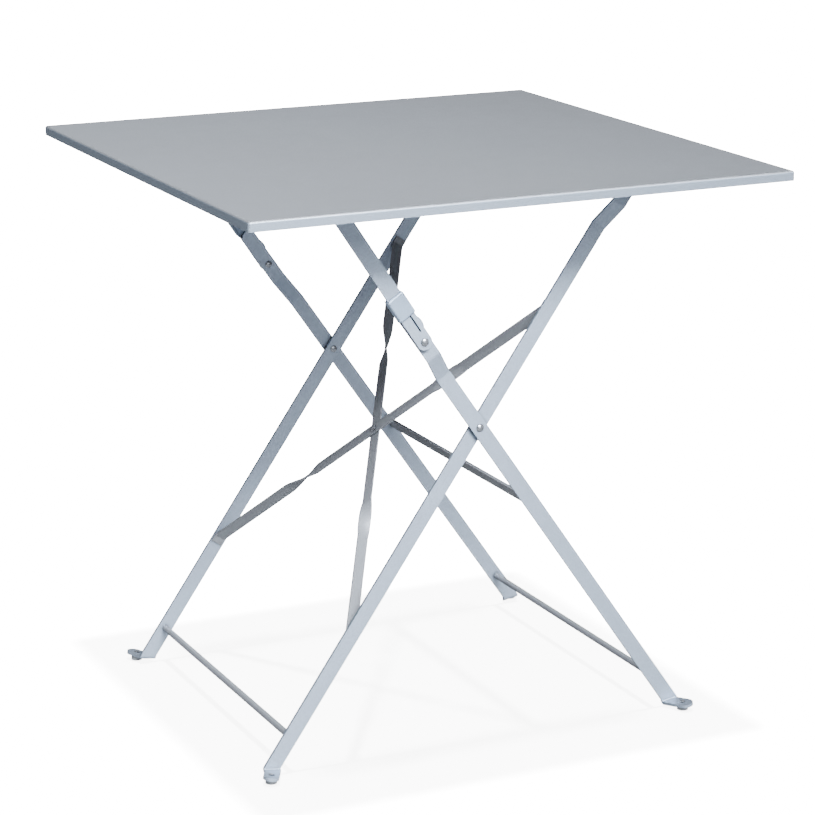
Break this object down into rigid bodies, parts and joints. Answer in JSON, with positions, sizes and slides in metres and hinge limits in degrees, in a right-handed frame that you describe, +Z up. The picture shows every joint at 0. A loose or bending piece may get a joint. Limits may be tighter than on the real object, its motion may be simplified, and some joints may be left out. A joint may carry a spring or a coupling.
{
  "type": "folding bistro table",
  "caption": "Square folding metal cafe table: pressed tray top on two crossed pairs of flat-bar legs, with folding upper links, sliding lock collars and twisted diagonal braces.",
  "frame": {"origin": "on the floor under the middle of the square top", "axes": "+Z up; X along the sides the legs lean in; +Y away from the near side, whose legs and links are named near"},
  "size_m": [0.7, 0.7, 0.709],
  "materials": {
    "grey_powder_coat": "fine satin powder coat",
    "collar_steel": "satin coated, slightly lighter than the frame",
    "zinc_rivet": "zinc plated",
    "glide_plastic": "matt grey plastic"
  },
  "bodies": {
    "outer_frame": {"outer_leg_near": "grey_powder_coat", "outer_leg_far": "grey_powder_coat", "scissor_rivet_near": "zinc_rivet", "scissor_rivet_far": "zinc_rivet", "scissor_washer_near": "zinc_rivet", "scissor_washer_far": "zinc_rivet", "elbow_rivet_near": "zinc_rivet", "elbow_rivet_far": "zinc_rivet", "elbow_washer_near": "zinc_rivet", "elbow_washer_far": "zinc_rivet", "outer_crossbar": "grey_powder_coat", "outer_foot_rod": "grey_powder_coat", "outer_glide_near": "glide_plastic", "outer_glide_far": "glide_plastic", "outer_glide_pins": "zinc_rivet"},
    "upper_links": {"upper_link_near": "grey_powder_coat", "upper_link_far": "grey_powder_coat"},
    "table_top": {"table_top": "grey_powder_coat", "hinge_rail_near": "grey_powder_coat", "hinge_rail_far": "grey_powder_coat", "link_hinge_rivet_near": "zinc_rivet", "link_hinge_rivet_far": "zinc_rivet", "link_hinge_washer_near": "zinc_rivet", "link_hinge_washer_far": "zinc_rivet", "leg_hinge_rivet_head_near": "zinc_rivet", "leg_hinge_rivet_head_far": "zinc_rivet", "leg_hinge_washer_near": "zinc_rivet", "leg_hinge_washer_far": "zinc_rivet"},
    "inner_frame": {"inner_leg_near": "grey_powder_coat", "inner_leg_far": "grey_powder_coat", "leg_hinge_rivet_tail_near": "zinc_rivet", "leg_hinge_rivet_tail_far": "zinc_rivet", "brace_front": "grey_powder_coat", "brace_back": "grey_powder_coat", "brace_rivet": "zinc_rivet", "inner_foot_rod": "grey_powder_coat", "inner_glide_near": "glide_plastic", "inner_glide_far": "glide_plastic", "inner_glide_pins": "zinc_rivet"},
    "collar_near": {"locking_collar_near": "collar_steel"},
    "collar_far": {"locking_collar_far": "collar_steel"}
  },
  "joints": [
    {"name": "elbow_fold", "type": "hinge", "parent": "outer_frame", "child": "upper_links", "pos_m": [-0.08613, 0, 0.52234], "axis": [0, -1, 0], "range_deg": [0, 169.9]},
    {"name": "scissor_fold", "type": "hinge", "parent": "outer_frame", "child": "inner_frame", "pos_m": [-0.0026, 0, 0.4026], "axis": [0, -1, 0], "range_deg": [0, 66.6]},
    {"name": "top_tilt", "type": "hinge", "parent": "upper_links", "child": "table_top", "pos_m": [-0.19207, 0, 0.6806], "axis": [0, -1, 0], "range_deg": [-53.6, 0]},
    {"name": "collar_near_slide", "type": "slide", "parent": "upper_links", "child": "collar_near", "axis": [-0.5563, 0, 0.831], "range_m": [0, 0.04]},
    {"name": "collar_far_slide", "type": "slide", "parent": "upper_links", "child": "collar_far", "axis": [-0.5563, 0, 0.831], "range_m": [-0.016, 0.024]}
  ],
  "couplings": [
    {"joint": "scissor_fold", "follows": "elbow_fold", "ratio": 0.3914},
    {"joint": "top_tilt", "follows": "elbow_fold", "ratio": -0.3147}
  ]
}
